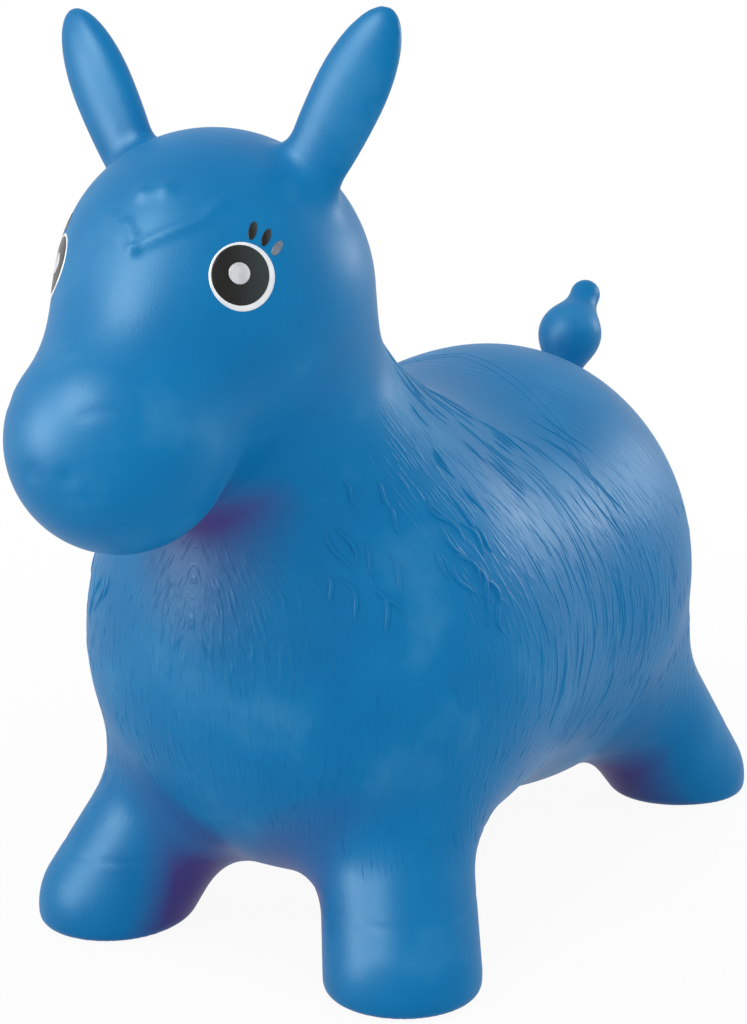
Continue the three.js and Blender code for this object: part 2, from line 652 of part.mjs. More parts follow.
const horse = new THREE.Group();
horse.name = "horse";
horse.add(
  piece("torso", torso(), vinyl),
  piece("valve_seat", valveSeat(), clearVinyl),
  pivoted("valve_plug", valvePoint, piece("valve_plug", valvePlug(), clearVinyl)),
  pivoted("neck", neckPivot, piece("neck", neck(), vinyl)),
  piece("head", head(), vinyl),
  pivoted("tail", tailPivot, piece("tail", tail(), vinyl)),
  leftSide,
  rightSide,
);

// The middle of the whole length stands over the origin
const extent = new THREE.Box3().setFromObject(horse, true);
horse.position.set(0, -(extent.min.y + extent.max.y) / 2, -extent.min.z);

const hopperHorse = new THREE.Group();
hopperHorse.name = "hopper_horse";
hopperHorse.add(horse);

export default hopperHorse;
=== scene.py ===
# %% [markdown]
# # An inflatable hopper horse
# The real toy is one soft skin of blue vinyl, blown up like a ball. A child sits on its back, holds the
# ears and bounces on the four stub legs. There are no panels and no hard edges, so this lesson grows
# the whole skin from one smooth rule, presses the moulded relief into it, and only then cuts it where
# it bends. The imported solids are loaded first. They set the size, and the skin takes their place piece
# by piece.

import json

import bmesh
import bpy
import numpy as np
from mathutils import Matrix, Vector

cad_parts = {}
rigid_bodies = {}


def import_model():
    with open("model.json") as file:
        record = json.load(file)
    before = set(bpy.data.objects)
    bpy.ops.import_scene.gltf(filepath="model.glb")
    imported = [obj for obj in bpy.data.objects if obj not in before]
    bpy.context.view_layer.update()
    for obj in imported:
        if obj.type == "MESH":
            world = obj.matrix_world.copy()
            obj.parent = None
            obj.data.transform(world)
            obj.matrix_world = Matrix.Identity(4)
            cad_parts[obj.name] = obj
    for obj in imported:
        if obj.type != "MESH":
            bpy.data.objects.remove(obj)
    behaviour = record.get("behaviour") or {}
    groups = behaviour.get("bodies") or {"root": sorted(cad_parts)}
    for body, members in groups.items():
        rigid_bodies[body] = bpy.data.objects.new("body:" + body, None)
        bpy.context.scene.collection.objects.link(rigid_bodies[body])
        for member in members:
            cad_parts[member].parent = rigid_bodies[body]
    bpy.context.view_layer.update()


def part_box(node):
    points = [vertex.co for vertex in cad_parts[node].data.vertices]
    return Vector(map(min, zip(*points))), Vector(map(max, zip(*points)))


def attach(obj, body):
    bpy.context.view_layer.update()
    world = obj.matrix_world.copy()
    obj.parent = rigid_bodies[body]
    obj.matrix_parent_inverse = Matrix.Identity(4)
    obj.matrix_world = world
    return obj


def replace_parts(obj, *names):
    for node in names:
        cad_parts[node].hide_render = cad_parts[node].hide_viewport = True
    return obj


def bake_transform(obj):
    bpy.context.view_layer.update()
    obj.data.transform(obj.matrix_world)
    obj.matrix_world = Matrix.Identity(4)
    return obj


for spare in list(bpy.data.objects):
    bpy.data.objects.remove(spare)
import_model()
MM = 0.001
valve_low, valve_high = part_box("valve_seat")
VALVE_Y = (valve_low.y + valve_high.y) / 2

# %% [markdown]
# ## One rule for the whole skin
# A blown-up skin is a row of swellings that run into each other without a crease. Metaballs can do
# that, and so can sculpting, but a small distance rule is easier to steer: each swelling is an egg, a
# ball or a tapering limb, and `melt` rounds off the valley where two of them meet. The rule is negative
# inside the toy, positive outside, and zero on the skin. All sizes in these cells are millimetres,
# measured from a point below the air valve.

# %% The swellings
def egg(points, centre, halves):
    offset = (points - centre) / halves
    inner = np.linalg.norm(offset, axis=1)
    slope = np.linalg.norm(offset / halves, axis=1)
    return inner * (inner - 1) / np.maximum(slope, 1e-9)


def ball(points, centre, radius):
    return np.linalg.norm(points - centre, axis=1) - radius


def limb(points, start, end, start_radius, end_radius):
    bone = end - start
    share = np.clip((points - start) @ bone / max(bone @ bone, 1e-9), 0, 1)
    reach = np.linalg.norm(points - start - share[:, None] * bone, axis=1)
    return reach - (start_radius + (end_radius - start_radius) * share)


def melt(width, one, other):
    overlap = np.maximum(width - np.abs(one - other), 0) / width
    return np.minimum(one, other) - overlap**2 * width / 4


def both_sides(width, form, points):
    return melt(width, form(points), form(points * MIRROR))


MIRROR = np.array([-1.0, 1.0, 1.0])
print("swellings: egg, ball, limb, and melt to join them")

# %% Sizes of the swellings
at = lambda *xyz: np.array(xyz, float)
EGGS = (
    (at(0, -117, 160), at(129, 117, 130)),
    (at(0, 0, 160), at(122, 150, 118)),
    (at(0, 84, 156), at(114, 111, 130)),
)
NECK_BASE, NECK_TOP = at(0, -132, 215), at(0, -187, 339)
SKULL, SKULL_HALVES = at(0, -210, 363), at(70, 73, 67)
CHEEK, MUZZLE = at(0, -226, 339), at(0, -287, 290)
FRONT_HIP, FRONT_FOOT = at(57, -136, 97), at(92, -184, 9)
REAR_HIP, REAR_FOOT = at(60, 119, 94), at(86, 176, 9)
TAIL_FOOT = at(0, 162.6, 249.6)
TAIL_AXIS = at(0, np.sin(np.radians(23.5)), np.cos(np.radians(23.5)))
TAIL_ROOT = TAIL_FOOT - 12 * TAIL_AXIS
TAIL_BOBBLE = TAIL_ROOT + 52 * TAIL_AXIS
TAIL_TIP = TAIL_BOBBLE + at(0, 21, 23)


def unit(vector):
    return vector / np.linalg.norm(vector)


EAR_ROOT = SKULL + at(70 * np.sin(np.radians(47)), 7, 67 * np.cos(np.radians(47)))
EAR_ALONG = unit(at(np.tan(np.radians(28.5)), np.tan(np.radians(3.5)), 1))
EAR_ACROSS = unit(np.cross(EAR_ALONG, at(np.sin(np.radians(7)), -np.cos(np.radians(7)), 0)))
EAR_THROUGH = np.cross(EAR_ACROSS, EAR_ALONG)
EAR_FRAME = np.column_stack([EAR_ACROSS, EAR_THROUGH, EAR_ALONG])
EAR_RISE, EAR_TIP_REACH, EAR_ROOT_REACH = 42, 45, 75
EAR_HALF_WIDTH, EAR_HALF_DEPTH = 18, 18 * 0.62
print("ear root at", EAR_ROOT.round(1), "tail tip at", TAIL_TIP.round(1))

# %% The rule
def barrel(points):
    chest, belly, rump = (egg(points, *sizes) for sizes in EGGS)
    return melt(60, melt(60, chest, belly), rump)


def head(points):
    return melt(40, egg(points, SKULL, SKULL_HALVES), limb(points, CHEEK, MUZZLE, 52, 53))


def ear(points):
    local = (points - EAR_ROOT) @ EAR_FRAME - at(0, 0, EAR_RISE)
    reach = np.where(local[:, 2] > 0, EAR_TIP_REACH, EAR_ROOT_REACH)
    halves = np.column_stack([0 * reach + EAR_HALF_WIDTH, 0 * reach + EAR_HALF_DEPTH, reach])
    return egg(local, at(0, 0, 0), halves)


def tail(points):
    stem = melt(10, limb(points, TAIL_ROOT, TAIL_BOBBLE, 11, 11), ball(points, TAIL_BOBBLE, 20))
    return melt(10, stem, limb(points, TAIL_BOBBLE, TAIL_TIP, 9.5, 9.5))


def skin(points):
    distance = melt(50, barrel(points), limb(points, NECK_BASE, NECK_TOP, 75, 59))
    distance = melt(30, distance, both_sides(30, lambda p: limb(p, FRONT_HIP, FRONT_FOOT, 39, 40.5), points))
    distance = melt(30, distance, both_sides(30, lambda p: limb(p, REAR_HIP, REAR_FOOT, 46, 40.5), points))
    distance = melt(12, distance, tail(points))
    distance = melt(36, distance, head(points))
    distance = melt(14, distance, both_sides(14, ear, points))
    return -melt(6, -distance, points[:, 2])


def slope(points, rule=skin, step=0.1):
    sides = [rule(points + step * axis) - rule(points - step * axis) for axis in np.eye(3)]
    return np.column_stack(sides) / (2 * step)


def settle(points, rounds=4):
    for _ in range(rounds):
        lean = slope(points)
        points = points - (skin(points) / np.maximum((lean**2).sum(1), 1e-6))[:, None] * lean
    return points


def outward(points):
    lean = slope(points)
    return lean / np.linalg.norm(lean, axis=1)[:, None]


print("depth at the chest's middle:", skin(EGGS[0][0][None]).round(1), "mm")

# %% [markdown]
# ## Growing the skin
# The rule needs a mesh to act on. Rough balls and limbs are joined, Blender's voxel remesh welds them
# into one even skin of small quads, and each point is then slid along the rule's slope until it lies on
# the zero surface. A second remesh evens out the places where the first pass stretched.

# %% Rough forms, remeshed and settled
def rough_ball(mesh, centre, halves):
    place = Matrix.Translation(Vector(centre)) @ Matrix.Diagonal((*halves, 1))
    bmesh.ops.create_icosphere(mesh, subdivisions=3, radius=1, matrix=place)


def rough_limb(mesh, start, end, start_radius, end_radius):
    part = bmesh.new()
    rough_ball(part, start, [start_radius] * 3)
    rough_ball(part, end, [end_radius] * 3)
    bmesh.ops.convex_hull(part, input=part.verts)
    stretched = bpy.data.meshes.new("rough_limb")
    part.to_mesh(stretched)
    part.free()
    mesh.from_mesh(stretched)
    bpy.data.meshes.remove(stretched)


def rough_skin():
    mesh = bmesh.new()
    for centre, halves in EGGS + ((SKULL, SKULL_HALVES),):
        rough_ball(mesh, centre, halves)
    rough_limb(mesh, NECK_BASE, NECK_TOP, 75, 59)
    rough_limb(mesh, CHEEK, MUZZLE, 52, 53)
    rough_limb(mesh, TAIL_ROOT, TAIL_BOBBLE, 11, 19)
    rough_limb(mesh, TAIL_BOBBLE, TAIL_TIP, 9.5, 9.5)
    for side in (at(1, 1, 1), MIRROR):
        rough_limb(mesh, FRONT_HIP * side, FRONT_FOOT * side, 39, 40)
        rough_limb(mesh, REAR_HIP * side, REAR_FOOT * side, 46, 40)
        rough_limb(mesh, EAR_ROOT * side, (EAR_ROOT + 48 * EAR_ALONG) * side, 11, 13)
        rough_limb(mesh, (EAR_ROOT + 48 * EAR_ALONG) * side, (EAR_ROOT + 80 * EAR_ALONG) * side, 12, 5)
    return mesh


def points_of(mesh):
    flat = np.zeros(len(mesh.vertices) * 3)
    mesh.vertices.foreach_get("co", flat)
    return flat.reshape(-1, 3)


def remeshed(mesh, voxel):
    holder = bpy.data.objects.new("skin_in_work", mesh)
    bpy.context.scene.collection.objects.link(holder)
    change = holder.modifiers.new("even_quads", "REMESH")
    change.mode = "VOXEL"
    change.voxel_size = voxel
    ready = holder.evaluated_get(bpy.context.evaluated_depsgraph_get())
    even = bpy.data.meshes.new_from_object(ready)
    bpy.data.objects.remove(holder)
    even.vertices.foreach_set("co", settle(points_of(even)).ravel())
    return even


VOXEL = 2.3
rough = bpy.data.meshes.new("rough_skin")
mesh = rough_skin()
mesh.to_mesh(rough)
mesh.free()
grown = remeshed(remeshed(rough, 4.0), VOXEL)
grown_points = points_of(grown)
print("skin:", len(grown.vertices), "points,", len(grown.polygons), "quads")
print("worst miss in mm:", abs(skin(grown_points)).max())

# %% [markdown]
# ## Relief in the mould
# The mould had a forelock, nostrils, a crease above the nose and a thin band round each hoof. They are
# shallow, one or two millimetres, and soft, so they can be pushed into the skin point by point along
# its slope. A sculpting brush would do the same by hand. Here each mark is a soft bell curve round a
# point or round a short line.

# %% Forelock, nose and hoof bands
def soft_mark(away, width, height):
    return height * np.exp(-((away / width) ** 2))


def line_mark(points, line, width, height):
    spots = settle(np.array(line, float))
    pairs = zip(spots[:-1], spots[1:])
    away = np.min([limb(points, start, end, 0, 0) for start, end in pairs], axis=0)
    return soft_mark(away, width, height)


FORELOCK_MIDDLE = (14, -277, 393)
FORELOCK_LEFT = ((-6, -280, 392), (0, -284, 386), (10, -285, 378))
FORELOCK_RIGHT = ((10, -285, 378), (24, -278, 386), (36, -268, 392), (42, -262, 401))
FORELOCK_STROKE = ((3, -283, 391), (9, -284, 384))
FORELOCK_CURLS = ((4, -272, 403), (15, -269, 406))
NOSTRIL = (11, -338, 281.5)
NOSE_CREASE = ((16, -331, 309), (29, -325, 312.5), (41, -317, 309))
HOOF_BAND_Z = 43
LEGS = {"front": (FRONT_HIP, FRONT_FOOT, 39), "rear": (REAR_HIP, REAR_FOOT, 46)}


def relief(points):
    height = line_mark(points, [FORELOCK_MIDDLE] * 2, 17, 0.9)
    height += line_mark(points, FORELOCK_LEFT, 2.7, 1.7)
    height += line_mark(points, FORELOCK_RIGHT, 2.9, 1.2)
    height += line_mark(points, FORELOCK_STROKE, 2.2, 1.5)
    for curl in FORELOCK_CURLS:
        height += line_mark(points, [curl] * 2, 4.5, 1.9)
    for side in (at(1, 1, 1), MIRROR):
        height += line_mark(points, [NOSTRIL * side] * 2, 4.6, -1.2)
        height += line_mark(points, NOSE_CREASE * side, 3.2, -0.4)
        for hip, foot, radius in LEGS.values():
            on_leg = limb(points, hip * side, foot * side, radius, 40.5) < 6
            height += on_leg * soft_mark(points[:, 2] - HOOF_BAND_Z, 1.6, -0.28)
    return height


skin_slope = outward(grown_points)
skin_points = grown_points + relief(grown_points)[:, None] * skin_slope
print("relief from", relief(grown_points).min().round(2), "to", relief(grown_points).max().round(2), "mm")

# %% [markdown]
# ## Where the skin bends
# Nothing on the toy is hinged. The neck, the ears, the tail and the legs bend because the skin gives
# way, so each of them is a stretch of skin from a start on the body to an end on the moving part, with a
# share of the movement that grows from none at the start to all at the end. A face belongs to such a
# stretch as soon as one of its points has any share, so the cut from the body runs through points that have
# none.

# %% Bends and the share of movement at each point
UPRIGHT = at(0, -0.6, 0.8)


def bend(base, way, first, last, bodies, near):
    return {"start": base + first * way, "end": base + last * way, "bodies": bodies, "near": near}


def leg_bend(side, end):
    hip, foot, _ = LEGS[end]
    mirror = at(1, 1, 1) if side == "left" else MIRROR
    near = lambda p: (p[:, 0] * mirror[0] > 0) & ((p[:, 1] > 0) == (end == "rear"))
    return bend(hip * mirror, unit((foot - hip) * mirror), 62, 96, ("body", f"{end}_{side}_leg"), near)


def ear_bend(side):
    mirror = at(1, 1, 1) if side == "left" else MIRROR
    near = lambda p: limb(p, EAR_ROOT * mirror, (EAR_ROOT + 100 * EAR_ALONG) * mirror, 0, 0) < 32
    return bend(EAR_ROOT * mirror, EAR_ALONG * mirror, 11, 34, ("head", f"{side}_ear"), near)


def near_tail(points):
    return limb(points, TAIL_FOOT, TAIL_FOOT + 90 * TAIL_AXIS, 26, 50) < 0


BENDS = {f"{side}_ear": ear_bend(side) for side in ("left", "right")}
BENDS["tail"] = bend(TAIL_FOOT, TAIL_AXIS, 11, 32, ("body", "tail"), near_tail)
for end in LEGS:
    BENDS |= {f"{end}_{side}_leg": leg_bend(side, end) for side in ("left", "right")}
BENDS["neck"] = bend(NECK_BASE, UPRIGHT, 40, 93, ("body", "head"), lambda p: p[:, 2] > 0)


def moved_share(points, bent):
    way = bent["end"] - bent["start"]
    share = np.clip((points - bent["start"]) @ way / (way @ way), 0, 1)
    return np.where(bent["near"](grown_points), share, 0)


corners = np.zeros(len(grown.polygons) * 4, int)
grown.polygons.foreach_get("vertices", corners)
quads = corners.reshape(-1, 4)
part_of = np.full(len(quads), "torso", dtype="<U20")
neck_share = moved_share(skin_points, BENDS["neck"])[quads]
part_of[neck_share.max(1) > 0] = "neck"
part_of[neck_share.min(1) >= 1] = "head"
for name, bent in BENDS.items():
    if name != "neck":
        part_of[moved_share(skin_points, bent)[quads].max(1) > 0] = name
VALVE_POCKET = 6.2
near_valve = np.hypot(skin_points[:, 0], skin_points[:, 1]) + np.maximum(skin_points[:, 2] - 60, 0)
part_of[near_valve[quads].mean(1) < VALVE_POCKET] = "valve_pocket"
print({str(name): int((part_of == name).sum()) for name in np.unique(part_of)})

# %% [markdown]
# ## What the finish needs to know
# Two things about the place of a point steer the finish later: which way the moulded hair runs there,
# and how deep the point lies between other parts. Where it lies deep the blue turns violet, which is
# painted shade. Both are worked out once on the whole skin and kept on the mesh as attributes, so that
# the materials don't depend on the view. The hair is combed like a real coat: from the mane back and
# down, then straight down the flank and the chest. A number that stays the same along every hair
# describes that. It counts lengthwise along the flank and turns round the chest.

# %% The comb and the depth of the painted shade
CHEST_Y, CHEST_TURN = -117, 125
COMB_LOW, COMB_HIGH = 150, 300


def comb(points):
    x, y, z = points.T
    angle = np.arctan2(np.abs(x), np.maximum(CHEST_Y - y, 1e-6))
    lengthwise = np.where(y > CHEST_Y, y, CHEST_Y - CHEST_TURN * (np.pi / 2 - angle))
    rise = np.maximum(z - COMB_LOW, 0)
    return lengthwise + 1.1 * rise**2 / (2 * (COMB_HIGH - COMB_LOW))


# How deep a point lies between parts, facing down and low on the toy. The blue vinyl turns violet by it:
# painted shade.
def shade_depth(points, normals):
    depth = [1 - skin(points + reach * normals) / reach for reach in (25, 60, 120)]
    turned_down = np.clip((0.45 - normals[:, 2]) / 0.6, 0, 1)
    under_the_back = np.clip((275 - points[:, 2]) / 25, 0, 1)
    near_floor = np.clip((115 - points[:, 2]) / 70, 0, 1)
    centred = points[:, :2] / np.maximum(np.linalg.norm(points[:, :2], axis=1, keepdims=True), 1e-6)
    turned_in = np.clip(0.1 - (centred * normals[:, :2]).sum(1), 0, 1)
    between = np.clip(np.mean(depth, axis=0), 0, 1) * (0.7 + 0.5 * near_floor)
    return (between + 0.4 * turned_in * near_floor) * turned_down * under_the_back


def coat(points):
    on_head = np.clip((90 - (points - NECK_BASE) @ UPRIGHT) / 30, 0, 1)
    on_leg = np.clip((points[:, 2] - 55) / 40, 0, 1)
    on_tail = np.clip(tail(points) / 8 - 0.3, 0, 1)
    on_seat = np.clip((points[:, 2] - 215) / 30, 0, 1) * np.clip((points[:, 1] + 70) / 40, 0, 1)
    return on_head * on_leg * on_tail * (1 - 0.7 * on_seat)


def hair_at(points):
    return np.column_stack([comb(points), points[:, 2], coat(points) * 1000]) * MM


hair_place = hair_at(skin_points)
skin_shade_depth = shade_depth(skin_points, skin_slope)
print("shelter up to", skin_shade_depth.max().round(2), "comb from", comb(skin_points).min().round(), "mm")

# %% [markdown]
# ## Finishes
# The vinyl is a deep even blue with a faint cloudiness and a satin skin, and the paint on the eyes is
# thin and glossier. Cloudiness and fine grain are the same in every moulded or painted surface, so they
# are one shader group with its own sizes in each material. The shader itself stays in the material.

# %% The shared grain group
def socket(tree, name, way, kind):
    return tree.interface.new_socket(name, in_out=way, socket_type=kind)


def moulded_grain():
    group = bpy.data.node_groups.new("moulded_grain", "ShaderNodeTree")
    socket(group, "Place", "INPUT", "NodeSocketVector")
    socket(group, "Cloud scale", "INPUT", "NodeSocketFloat")
    socket(group, "Grain scale", "INPUT", "NodeSocketFloat")
    socket(group, "Cloud", "OUTPUT", "NodeSocketFloat")
    socket(group, "Grain", "OUTPUT", "NodeSocketFloat")
    given = group.nodes.new("NodeGroupInput")
    result = group.nodes.new("NodeGroupOutput")
    for scale, detail, name in (("Cloud scale", 3.0, "Cloud"), ("Grain scale", 2.0, "Grain")):
        noise = group.nodes.new("ShaderNodeTexNoise")
        noise.inputs["Detail"].default_value = detail
        group.links.new(given.outputs["Place"], noise.inputs["Vector"])
        group.links.new(given.outputs[scale], noise.inputs["Scale"])
        group.links.new(noise.outputs["Fac"], result.inputs[name])
    return group


GRAIN = moulded_grain()
print("shader group:", GRAIN.name)


# %% Helpers that wire a material
class Finish:
    def __init__(self, name, cloud, grain):
        self.material = bpy.data.materials.new(name)
        self.material.use_nodes = True
        self.tree = self.material.node_tree
        self.shader = self.tree.nodes["Principled BSDF"]
        self.grain = self.node("ShaderNodeGroup", node_tree=GRAIN)
        self.grain.inputs["Cloud scale"].default_value = cloud
        self.grain.inputs["Grain scale"].default_value = grain
        place = self.node("ShaderNodeTexCoord")
        self.wire(place.outputs["Object"], self.grain.inputs["Place"])

    def node(self, kind, **settings):
        made = self.tree.nodes.new(kind)
        for name, value in settings.items():
            setattr(made, name, value)
        return made

    def wire(self, source, target):
        self.tree.links.new(source, target)

    def spread(self, value, low, high, to_low, to_high):
        spread = self.node("ShaderNodeMapRange")
        self.wire(value, spread.inputs["Value"])
        for name, number in zip(("From Min", "From Max", "To Min", "To Max"), (low, high, to_low, to_high)):
            spread.inputs[name].default_value = number
        return spread.outputs["Result"]

    def mixed(self, share, one, other):
        mix = self.node("ShaderNodeMix", data_type="RGBA")
        self.wire(share, mix.inputs["Factor"])
        for place, colour in ((6, one), (7, other)):
            if isinstance(colour, tuple):
                mix.inputs[place].default_value = (*colour, 1)
            else:
                self.wire(colour, mix.inputs[place])
        return mix.outputs[2]

    def attribute(self, name):
        return self.node("ShaderNodeAttribute", attribute_name=name)

    def raised(self, height, distance, below=None):
        bump = self.node("ShaderNodeBump")
        bump.inputs["Distance"].default_value = distance
        self.wire(height, bump.inputs["Height"])
        if below:
            self.wire(below, bump.inputs["Normal"])
        return bump.outputs["Normal"]


print("finish helpers ready")

# %% Blue vinyl
DEEP_BLUE, PALE_BLUE = (0.001, 0.16, 0.405), (0.003, 0.19, 0.45)
# The violet below is painted shade, mixed in where a point lies deep between parts.
SHADE_VIOLET = (0.07, 0.045, 0.23)
HAZE = (0.09, 0.29, 0.51)


def blue_vinyl():
    finish = Finish("blue_vinyl", cloud=22, grain=900)
    cloud = finish.spread(finish.grain.outputs["Cloud"], 0.3, 0.7, 0, 1)
    blue = finish.mixed(cloud, DEEP_BLUE, PALE_BLUE)
    # Painted shade: violet mixed in deep between parts, by the depth attribute.
    depth = finish.attribute("shade_depth")
    violet_shade = finish.spread(depth.outputs["Fac"], 0.08, 0.48, 0, 0.95)
    hazed = finish.mixed(finish.spread(finish.grain.outputs["Cloud"], 0.56, 0.78, 0, 0.28), blue, HAZE)
    finish.wire(finish.mixed(violet_shade, hazed, SHADE_VIOLET), finish.shader.inputs["Base Color"])
    finish.wire(finish.spread(cloud, 0, 1, 0.4, 0.5), finish.shader.inputs["Roughness"])
    finish.shader.inputs["Specular IOR Level"].default_value = 0.14
    finish.shader.inputs["Specular Tint"].default_value = (0.6, 0.9, 1, 1)
    hair = finish.attribute("hair_place")
    strands = finish.node("ShaderNodeMapping")
    strands.inputs["Scale"].default_value = (330, 75, 0)
    finish.wire(hair.outputs["Vector"], strands.inputs["Vector"])
    ticks = finish.node("ShaderNodeTexNoise")
    ticks.inputs["Scale"].default_value = 1
    ticks.inputs["Detail"].default_value = 1
    finish.wire(strands.outputs["Vector"], ticks.inputs["Vector"])
    parts = finish.node("ShaderNodeSeparateXYZ")
    finish.wire(hair.outputs["Vector"], parts.inputs["Vector"])
    strand_height = finish.spread(ticks.outputs["Fac"], 0.5, 0.72, 0, 1)
    shown = finish.node("ShaderNodeMath", operation="MULTIPLY")
    finish.wire(strand_height, shown.inputs[0])
    finish.wire(parts.outputs["Z"], shown.inputs[1])
    fine = finish.raised(finish.grain.outputs["Grain"], 0.00008)
    finish.wire(finish.raised(shown.outputs[0], 0.00028, fine), finish.shader.inputs["Normal"])
    return finish.material


BLUE_VINYL = blue_vinyl()
print("finish:", BLUE_VINYL.name)

# %% Paint and valve vinyl
def plain_finish(name, dark, light, roughness, grain_height=0.00003):
    finish = Finish(name, cloud=160, grain=1500)
    cloud = finish.spread(finish.grain.outputs["Cloud"], 0.35, 0.65, 0, 1)
    finish.wire(finish.mixed(cloud, dark, light), finish.shader.inputs["Base Color"])
    finish.wire(finish.spread(cloud, 0, 1, *roughness), finish.shader.inputs["Roughness"])
    finish.wire(finish.raised(finish.grain.outputs["Grain"], grain_height), finish.shader.inputs["Normal"])
    return finish.material


def black_paint():
    finish = Finish("black_paint", cloud=160, grain=1500)
    # Lighter and greener grey towards the rear of each black film: a painted sheen.
    across = finish.spread(finish.attribute("across").outputs["Fac"], -0.4, 1, 0, 1)
    sheen_across = finish.mixed(across, (0.006, 0.0055, 0.004), (0.035, 0.05, 0.052))
    cloud = finish.spread(finish.grain.outputs["Cloud"], 0.3, 0.75, 0, 0.35)
    finish.wire(finish.mixed(cloud, sheen_across, (0.016, 0.019, 0.019)), finish.shader.inputs["Base Color"])
    finish.wire(finish.spread(cloud, 0, 0.35, 0.26, 0.4), finish.shader.inputs["Roughness"])
    finish.shader.inputs["Specular IOR Level"].default_value = 0.2
    finish.wire(finish.raised(finish.grain.outputs["Grain"], 0.00003), finish.shader.inputs["Normal"])
    return finish.material


WHITE_PAINT = plain_finish("white_paint", (0.74, 0.78, 0.82), (0.86, 0.88, 0.9), (0.3, 0.4))
GLINT_PAINT = plain_finish("glint_paint", (0.5, 0.53, 0.56), (0.68, 0.7, 0.72), (0.3, 0.4))
# Pale blue-grey for the rear lash, which is black paint: a painted highlight.
LASH_SHEEN_PAINT = plain_finish("lash_paint_painted_sheen", (0.035, 0.05, 0.07), (0.16, 0.2, 0.26), (0.35, 0.5))
VALVE_VINYL = plain_finish("valve_vinyl", (0.66, 0.7, 0.7), (0.78, 0.82, 0.82), (0.3, 0.42))
BLACK_PAINT = black_paint()
print("finishes:", [finish.name for finish in bpy.data.materials if finish.use_nodes])

# %% [markdown]
# ## The skin in its pieces
# Every stretch of skin becomes its own closed mesh. The cut edges are capped inside, where nobody sees
# them, and each point keeps the slope that it had on the whole skin, so that no seam shows in the
# shading.

# %% Cut, cap and shade
def to_frame(points):
    return points * MM + at(0, VALVE_Y, 0)


def show(name, mesh, material):
    mesh.materials.clear()
    mesh.materials.append(material)
    piece = bpy.data.objects.new(name, mesh)
    bpy.context.scene.collection.objects.link(piece)
    return piece


POCKET_DEPTH = 14


def on_valve(spot):
    return np.hypot(spot.x, spot.y - VALVE_Y) < 1.6 * VALVE_POCKET * MM and spot.z < 0.06


def capped(mesh):
    work = bmesh.new()
    work.from_mesh(mesh)
    open_edges = [edge for edge in work.edges if edge.is_boundary]
    pocket = [edge for edge in open_edges if all(on_valve(spot.co) for spot in edge.verts)]
    if pocket:
        grown_rim = bmesh.ops.extrude_edge_only(work, edges=pocket)["geom"]
        rim_spots = [spot for spot in grown_rim if isinstance(spot, bmesh.types.BMVert)]
        bmesh.ops.translate(work, verts=rim_spots, vec=(0, 0, POCKET_DEPTH * MM))
    rims = [edge for edge in work.edges if edge.is_boundary]
    lids = bmesh.ops.holes_fill(work, edges=rims, sides=0)["faces"]
    bmesh.ops.poke(work, faces=lids)
    work.to_mesh(mesh)
    work.free()
    return len(lids)


def put_attribute(mesh, name, kind, values):
    field = "vector" if kind == "FLOAT_VECTOR" else "value"
    mesh.attributes.new(name, kind, "POINT").data.foreach_set(field, np.ravel(values).astype(np.float32))


grown.vertices.foreach_set("co", skin_points.ravel())
grown.update()
normal_list = np.zeros(len(grown.vertices) * 3)
grown.vertex_normals.foreach_get("vector", normal_list)
whole_normals = normal_list.reshape(-1, 3)


SLENDER = ("left_ear", "right_ear", "tail")


def finer(points, faces, normals):
    """Split each quad in four. New points settle on the rule, apart from those on the straight rim."""
    sides = np.stack([faces, np.roll(faces, -1, axis=1)], axis=2).reshape(-1, 2)
    pairs, which, uses = np.unique(np.sort(sides, axis=1), axis=0, return_inverse=True, return_counts=True)
    middles, leans = points[pairs].mean(1), normals[pairs].mean(1)
    middles[uses == 2] = settle(middles[uses == 2])
    leans[uses == 2] = outward(middles[uses == 2])
    hubs = settle(points[faces].mean(1))
    middle_of = which.reshape(-1, 4) + len(points)
    hub_of = np.arange(len(faces)) + len(points) + len(pairs)
    small = [np.column_stack([faces[:, k], middle_of[:, k], hub_of, middle_of[:, k - 1]]) for k in range(4)]
    return np.vstack([points, middles, hubs]), np.vstack(small), np.vstack([normals, leans, outward(hubs)])


def skin_piece(name):
    own = quads[part_of == name]
    used, renumbered = np.unique(own, return_inverse=True)
    points, faces, normals = skin_points[used], renumbered.reshape(-1, 4), whole_normals[used]
    hair, shade_depths = hair_place[used], skin_shade_depth[used]
    if name in SLENDER:
        points, faces, normals = finer(points, faces, normals)
        hair, shade_depths = hair_at(points), shade_depth(points, normals)
    mesh = bpy.data.meshes.new(f"{name}_skin")
    mesh.from_pydata(to_frame(points), [], faces.tolist())
    put_attribute(mesh, "hair_place", "FLOAT_VECTOR", hair)
    # Depth of the painted violet shade at each point.
    put_attribute(mesh, "shade_depth", "FLOAT", shade_depths)
    lids = capped(mesh)
    mesh.shade_smooth()
    normals = np.vstack([normals, np.zeros((len(mesh.vertices) - len(points), 3))])
    mesh.normals_split_custom_set_from_vertices(normals)
    piece = show(f"{name}_skin", mesh, BLUE_VINYL)
    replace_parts(piece, name)
    print(piece.name, len(mesh.polygons), "faces,", lids, "caps")
    return piece


for name in ("torso", "head", *BENDS):
    piece = skin_piece(name)
    if name in BENDS:
        bent = BENDS[name]
        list(bent["bodies"])
        to_frame(bent["start"])
        to_frame(bent["end"])
        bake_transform(piece)
    else:
        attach(piece, "body" if name == "torso" else "head")
print("skin pieces:", 2 + len(BENDS))

# %% [markdown]
# ## Painted eyes
# The eyes are printed on the skin: a white disc, a black one set a little ahead of its middle, a pale
# glint, and three short lashes. Each is a thin film that follows the head's curve, so it is laid out
# flat on the eye's own axes, dropped onto the rule, and given a rounded edge and a hair's breadth of
# thickness.

# %% Films of paint
EYE_RISE = np.radians(2.7)


